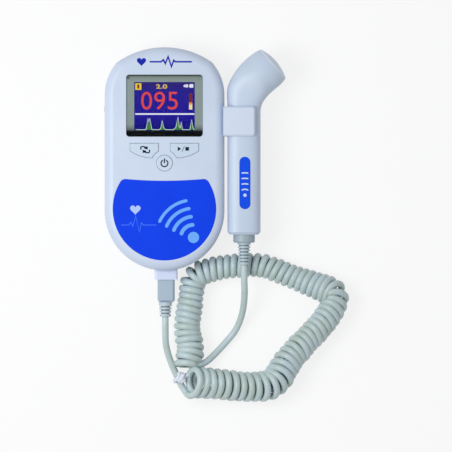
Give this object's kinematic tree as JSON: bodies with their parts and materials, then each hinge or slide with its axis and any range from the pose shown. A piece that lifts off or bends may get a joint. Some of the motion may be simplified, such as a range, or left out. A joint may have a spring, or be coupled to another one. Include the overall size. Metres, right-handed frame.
{
  "type": "fetal doppler monitor",
  "caption": "Pocket ultrasound heartbeat monitor with a colour display, keys, a loudspeaker, and a bent probe held in a side clip on a curly cord with a plug.",
  "frame": {"origin": "middle of the unit's flat back, halfway along its length and width", "axes": "+Z out of the display, +Y towards the unit's top end, +X towards the probe in its clip"},
  "size_m": [0.1491, 0.2127, 0.0322],
  "materials": {
    "case_white": "satin",
    "window": "gloss",
    "window_print": "gloss",
    "screen": "gloss",
    "white_plastic": "satin",
    "key_white": "satin",
    "switch_black": "matte",
    "label_blue": "gloss",
    "board_green": "satin",
    "chip_black": "matte",
    "steel": "satin",
    "cell": "gloss",
    "speaker_metal": "satin",
    "speaker_paper": "matte",
    "wheel_grey": "satin",
    "jack_black": "satin",
    "plug_grey": "satin",
    "cord_grey": "satin",
    "probe_white": "satin",
    "badge_blue": "gloss",
    "lens": "satin",
    "ceramic": "matte",
    "damping": "matte",
    "tie_white": "satin"
  },
  "bodies": {
    "main_unit": {"front_shell": "case_white", "rear_shell": "case_white", "display_window": "window", "window_mask": "window_print", "backlight": "white_plastic", "display_panel": "screen", "display_frame": "switch_black", "power_switch": "switch_black", "mode_switch": "switch_black", "start_stop_switch": "switch_black", "front_label": "label_blue", "main_board": "board_green", "board_chips": "chip_black", "case_screws": "steel", "battery_left": "cell", "battery_right": "cell", "battery_contacts": "steel", "battery_springs": "steel", "speaker_frame": "speaker_metal", "speaker_cone": "speaker_paper", "volume_pot": "chip_black", "headphone_jack": "jack_black", "probe_socket": "white_plastic", "probe_clip": "case_white", "clip_screws": "steel", "plug_lead": "cord_grey", "probe_lead": "cord_grey", "coil_cord": "cord_grey", "cable_tie": "tie_white"},
    "power_button": {"power_button": "key_white"},
    "mode_button": {"mode_button": "key_white"},
    "start_stop_button": {"start_stop_button": "key_white"},
    "volume_wheel": {"volume_wheel": "wheel_grey"},
    "battery_cover": {"battery_cover": "case_white"},
    "probe": {"probe_shell_front": "probe_white", "probe_shell_rear": "probe_white", "probe_badge": "badge_blue", "probe_face": "lens", "piezo_crystals": "ceramic", "crystal_backing": "damping", "probe_board": "board_green", "probe_collar": "probe_white", "probe_strain_relief": "cord_grey"},
    "probe_plug": {"plug_body": "plug_grey", "plug_contacts": "steel", "plug_strain_relief": "cord_grey"}
  },
  "joints": [
    {"name": "power_press", "type": "slide", "parent": "main_unit", "child": "power_button", "axis": [0, 0, -1], "range_m": [0, 0.0008], "stiffness_N_per_m": 1200},
    {"name": "mode_press", "type": "slide", "parent": "main_unit", "child": "mode_button", "axis": [0, 0, -1], "range_m": [0, 0.0008], "stiffness_N_per_m": 1200},
    {"name": "start_stop_press", "type": "slide", "parent": "main_unit", "child": "start_stop_button", "axis": [0, 0, -1], "range_m": [0, 0.0008], "stiffness_N_per_m": 1200},
    {"name": "volume_turn", "type": "hinge", "parent": "main_unit", "child": "volume_wheel", "pos_m": [-0.0286, 0.03, 0.0168], "axis": [0, 0, 1], "range_deg": [-150, 150]},
    {"name": "battery_cover_slide", "type": "slide", "parent": "main_unit", "child": "battery_cover", "axis": [0, 1, 0], "range_m": [0, 0.055]},
    {"name": "probe_unclip", "type": "slide", "parent": "main_unit", "child": "probe", "axis": [1, 0, 0], "range_m": [0, 0.02], "deforming": ["probe_lead"]},
    {"name": "plug_pull", "type": "slide", "parent": "main_unit", "child": "probe_plug", "axis": [0, -1, 0], "range_m": [0, 0.008], "deforming": ["plug_lead"]}
  ]
}
